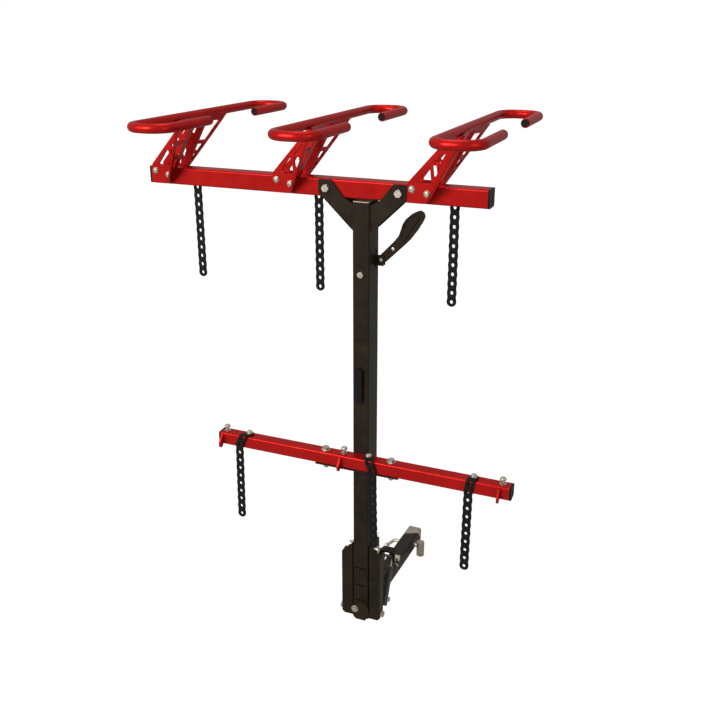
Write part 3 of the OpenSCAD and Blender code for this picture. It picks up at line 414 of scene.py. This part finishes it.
def layAlong(flat, path, normal):
    # (across, along, thickness) goes to path(along) + across * side + thickness * normal, in mm
    lengths = np.concatenate([[0], np.cumsum(np.linalg.norm(np.diff(path, axis=0), axis=1))])
    tangent = np.gradient(path, lengths, axis=0)
    tangent /= np.linalg.norm(tangent, axis=1, keepdims=True)
    side = np.cross(tangent, normal)
    side /= np.linalg.norm(side, axis=1, keepdims=True)
    face = np.cross(side, tangent)
    s = flat[:, 1]
    inside = np.clip(s, 0, lengths[-1])
    pick = [np.stack([np.interp(inside, lengths, a[:, i]) for i in range(3)], -1)
            for a in (path, tangent, side, face)]
    centre = pick[0] + pick[1] * (s - inside)[:, None]
    return centre + pick[2] * flat[:, :1] + pick[3] * flat[:, 2:]


upperStraps = {"count": 11, "pitchMm": 27.0, "boltHoleMm": 9.1, "boltZMm": 1407.0}


def makeUpperStraps():
    # straight down from the bolt, in the middle of the strap's solid
    u = upperStraps
    for i in range(3):
        body = f"upper_strap_{i + 1}"
        low, high = np.array(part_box(body)) * 1000
        x, y, _ = (low + high) / 2
        flat, faces = strapLinks(u["count"], u["pitchMm"], u["boltHoleMm"])
        path = np.array([(x, y, u["boltZMm"]), (x, y, u["boltZMm"] - u["count"] * u["pitchMm"])])
        verts = layAlong(flat, path, np.tile([0.0, -1.0, 0.0], (2, 1)))
        piece = makePiece(f"upperStrap{i + 1}", verts / 1000, faces, "black_rubber", body)
        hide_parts(body)


lowerStraps = {
    "count": 11, "pitchMm": 28.0, "boltHoleMm": 9.0,
    "boltXMm": (-373, 34, 361),    # where each strap is bolted
    "hangXMm": (-398, 55, 352),    # where it has turned down, twistMm further along
    "endXMm": (-402, 60, 350),     # where its end hangs, driftMm further on
    "twistMm": 62.0, "driftMm": 230.0, "easeShare": 0.35,
    "edgeRadiusMm": 6.0, "clearMm": 1.0, "barYMm": (-512, -472), "topMm": 615.0,
    "pathPoints": (30, 24, 90), "dropMm": 300.0,
}


def overTheEdge(s):
    # y, z, outward normal and length along the strap's middle: level over the bar, a quarter
    # circle round its edge, then straight down
    level, bent, down = s["pathPoints"]
    r = s["edgeRadiusMm"] + strapSettings["thickMm"] / 2
    frontY = s["barYMm"][0] - s["clearMm"] + s["edgeRadiusMm"]
    topZ = s["topMm"] - s["edgeRadiusMm"]
    run = np.linspace(sum(s["barYMm"]) / 2, frontY, level)
    bend = np.radians(np.linspace(0, 90, bent))[1:]
    drop = np.linspace(0, s["dropMm"], down)[1:]
    y = np.concatenate([run, frontY - r * np.sin(bend), np.full(down - 1, frontY - r)])
    z = np.concatenate([np.full(level, topZ + r), topZ + r * np.cos(bend), topZ - drop])
    normal = np.concatenate([np.tile([0, 0, 1.0], (level, 1)),
                             np.stack([0 * bend, -np.sin(bend), np.cos(bend)], -1),
                             np.tile([0, -1.0, 0], (down - 1, 1))])
    return y, z, normal, np.concatenate([[0], np.cumsum(np.hypot(np.diff(y), np.diff(z)))])


def makeLowerStraps():
    # x eases from the bolt to where the strap hangs, by a share of a smooth step and the rest of
    # a quarter sine, then drifts evenly to its end
    s = lowerStraps
    y, z, normal, along = overTheEdge(s)
    turned = np.clip(along / s["twistMm"], 0, 1)
    smooth, sine = turned * turned * (3 - 2 * turned), np.sin(turned * np.pi / 2)
    ease = smooth * s["easeShare"] + sine * (1 - s["easeShare"])
    slow = np.clip((along - s["twistMm"]) / s["driftMm"], 0, 1)
    for i, (boltX, hangX, endX) in enumerate(zip(s["boltXMm"], s["hangXMm"], s["endXMm"])):
        x = boltX + (hangX - boltX) * ease + (endX - hangX) * slow
        flat, faces = strapLinks(s["count"], s["pitchMm"], s["boltHoleMm"])
        verts = layAlong(flat, np.stack([x, y, z], -1), normal)
        piece = makePiece(f"lowerStrap{i + 1}", verts / 1000, faces, "black_rubber", "mast")
        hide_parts(f"lower_strap_{i + 1}")


makeUpperStraps()
makeLowerStraps()
print("straps made")

# Weld beads: a tube carried along each seam, its radius rippling once a stitch
weldSettings = {
    "radiusMm": 2.6, "stitchMm": 2.4, "ripple": 0.10,
    "pointsPerStitch": 6, "endPower": 24,  # the higher the power, the shorter the run-out
    "across": (0.31, 0.52, 0.79),          # a direction that no seam takes
    # upright seams, each on both sides of the middle: x, y, bottom and top in mm
    "upright": {
        "mast": [(25.6, -465.9, 1305, 1377), (25.6, -401.9, 1305, 1377),  # plates at the mast's top
                 (22.2, -395.6, 115, 186), (9.3, -389.6, 124, 164)],      # the damper's arm
        "hitch_base": [(29.2, -386.0, 14, 116), (25.6, -379.6, 10, 52),   # heel plate, shank
                       (19.6, -379.6, 58, 112)],                          # gussets
    },
    # level seams from left to right: x, y, z in mm
    "level": {"mast": [(24, -472.2, 568)], "hitch_base": []},             # under the lower crossbar
}


def tubeAlong(path, radii, across, cols=10, closed=False):
    # circle of radius(s) carried along the path; across is a direction that the path never takes
    if closed:
        tangent = np.roll(path, -1, axis=0) - np.roll(path, 1, axis=0)
    else:
        tangent = np.gradient(path, axis=0)
    tangent /= np.linalg.norm(tangent, axis=1, keepdims=True)
    first = np.cross(tangent, across)
    first /= np.linalg.norm(first, axis=1, keepdims=True)
    second = np.cross(tangent, first)
    turn = np.linspace(0, 2 * np.pi, cols, endpoint=False)[None, :, None]
    ring = np.cos(turn) * first[:, None] + np.sin(turn) * second[:, None]
    verts = path[:, None] + np.broadcast_to(radii, len(path))[:, None, None] * ring
    return verts.reshape(-1, 3), gridFaces(len(path), cols, 0, closed, True)


def runOut(t, power):
    # 1 along most of the way from t = 0 to 1, and a rounded fall to 0 at both ends
    return np.sqrt(np.clip(1 - np.abs(2 * t - 1) ** power, 0, 1))


def weldBead(start, end, s):
    # tube whose radius is r (1 + ripple sin(2 pi s / stitch)), run out to nothing at both ends
    a, b = np.array(start, float), np.array(end, float)
    length = np.linalg.norm(b - a)
    t = np.linspace(0, 1, int(length / s["stitchMm"] * s["pointsPerStitch"]))
    radii = s["radiusMm"] * (1 + s["ripple"] * np.sin(2 * np.pi * t * length / s["stitchMm"]))
    return tubeAlong(a + (b - a) * t[:, None], radii * runOut(t, s["endPower"]), s["across"])


def makeWelds():
    s = weldSettings
    for body in s["upright"]:
        seams = [((side * x, y, bottom), (side * x, y, top))
                 for x, y, bottom, top in s["upright"][body] for side in (1, -1)]
        seams += [((-x, y, z), (x, y, z)) for x, y, z in s["level"][body]]
        verts, faces, offset = [], [], 0
        for start, end in seams:
            v, f = weldBead(start, end, s)
            verts.append(v / 1000)
            faces.append(f + offset)
            offset += len(v)
        makePiece(f"{body}Welds", np.concatenate(verts), np.concatenate(faces), "black_powder",
                  body)


makeWelds()
print("welds made")

# Small fittings: the lever's stop rivet, the wire loops on the damper's hood and behind the mast,
# the split pin of the damper's upper pin and the plain steel cap on the mast's open top, whose pale
# steel paints the highlight where the mast's top edge catches the light
fittings = {
    "rivet": {"atMm": (78.3, -423.3, 1251.0), "radiusMm": 5.6, "riseMm": 1.9, "flatness": 0.8,
              "backMm": 1.0},
    "hoodLoop": {"atMm": (25.5, -300.0, 185.0), "radiusMm": 8.0, "legMm": 14.0, "wireMm": 1.7,
                 "turn": 20.0},
    "rearLoop": {"atMm": (20.5, -387.0, 281.0), "radiusMm": 7.5, "legMm": 4.0, "wireMm": 1.7,
                 "turn": 5.0},
    "splitPin": {"headMm": (57.0, -300.0, 121.5), "tipMm": (69.0, -300.0, 110.5), "wireMm": 2.2,
                 "apart": 0.45, "splay": 0.16, "endPower": 16},
    # the cap's pale steel is a painted highlight along the mast's lit top edge
    "cap": {"centreMm": (0.0, -433.9), "sizeMm": (50.4, 75.8), "baseMm": 1386.5, "thickMm": 2.6,
            "cornerMm": 4.5, "roundMm": 1.2},
}


def rivetHead(f, rows=14, cols=40):
    # low dome facing -Y: radius sin(a) across, rise cos(a) ^ flatness out, closed behind
    a = np.linspace(0.001, np.pi / 2, rows)[:, None]
    u = np.linspace(0, 2 * np.pi, cols, endpoint=False)
    across = f["radiusMm"] * np.sin(a)
    out = -f["riseMm"] * np.cos(a) ** f["flatness"] + 0 * u
    dome = np.stack([across * np.cos(u), out, across * np.sin(u)], -1).reshape(-1, 3)
    poles = [(0, -f["riseMm"], 0), (0, f["backMm"], 0)]
    verts = np.array(f["atMm"]) + np.concatenate([dome, poles])
    ring, rim = np.arange(cols), (rows - 1) * cols + np.arange(cols)
    caps = [[rows * cols, i, j] for i, j in zip(ring, np.roll(ring, -1))]
    caps += [[rows * cols + 1, j, i] for i, j in zip(rim, np.roll(rim, -1))]
    return verts, gridFaces(rows, cols, 0, False, True).tolist() + caps


def wireLoop(f):
    # a leg up, half a circle over and a leg down, in a plane turned about Z
    leg, a = np.linspace(-f["legMm"], 0, 6)[:-1], np.linspace(0, np.pi, 40)
    x = np.concatenate([np.full(5, -1.0), -np.cos(a), np.full(5, 1.0)]) * f["radiusMm"]
    z = np.concatenate([leg, f["radiusMm"] * np.sin(a), leg[::-1]])
    t = math.radians(f["turn"])
    path = np.stack([x * math.cos(t), x * math.sin(t), z], -1) + f["atMm"]
    return tubeAlong(path, f["wireMm"] / 2, (-math.sin(t), math.cos(t), 0), 12)


def splitPin(f):
    # two legs side by side that part towards their tips, each run out to a rounded end
    head, tip = np.array(f["headMm"]), np.array(f["tipMm"])
    t = np.linspace(0, 1, 24)
    radii = f["wireMm"] / 2 * runOut(t, f["endPower"])
    length = np.linalg.norm(tip - head)
    verts, faces = [], []
    for way in (-1, 1):
        path = head + (tip - head) * t[:, None]
        path[:, 1] += way * (f["wireMm"] * f["apart"] + length * f["splay"] * t ** 2)
        v, g = tubeAlong(path, radii, (0, 1, 0), 12)
        faces.append(g + len(v) * len(verts))
        verts.append(v)
    return np.concatenate(verts), np.concatenate(faces)


def endCap(f, rows=6, cols=64):
    # rounded rectangle: x = a + c cos(u), y = b + c sin(u) in each corner, drawn in along a
    # quarter circle at the top
    u = np.linspace(0, 2 * np.pi, cols, endpoint=False)
    way = np.sign(np.stack([np.cos(u + 1e-6), np.sin(u + 1e-6)], -1))
    straight = np.array(f["sizeMm"]) / 2 - f["cornerMm"]
    q = np.linspace(0, np.pi / 2, rows)
    radii = np.concatenate([[f["cornerMm"]], f["cornerMm"] - f["roundMm"] * (1 - np.cos(q))])
    heights = np.concatenate([[0], f["thickMm"] - f["roundMm"] * (1 - np.sin(q))])
    turn = np.stack([np.cos(u), np.sin(u)], -1)
    loops = [np.concatenate([way * straight + turn * r, np.full((cols, 1), h)], 1)
             for r, h in zip(radii, heights)]
    verts = np.concatenate(loops) + (*f["centreMm"], f["baseMm"])
    faces = gridFaces(len(loops), cols, 0, False, True).tolist()
    return verts, faces + [list(range(cols)), [rows * cols + i for i in range(cols)]]


for name, shape, slot, body in (
        ("stopRivet", rivetHead(fittings["rivet"]), "zinc_plate", "release_lever"),
        ("hoodLoop", wireLoop(fittings["hoodLoop"]), "zinc_plate", "mast"),
        ("rearLoop", wireLoop(fittings["rearLoop"]), "zinc_plate", "mast"),
        ("splitPin", splitPin(fittings["splitPin"]), "zinc_plate", "mast"),
        ("mastCap", endCap(fittings["cap"]), "bare_steel", "mast")):
    makePiece(name, shape[0] / 1000, shape[1], slot, body, 50)
print("fittings made")
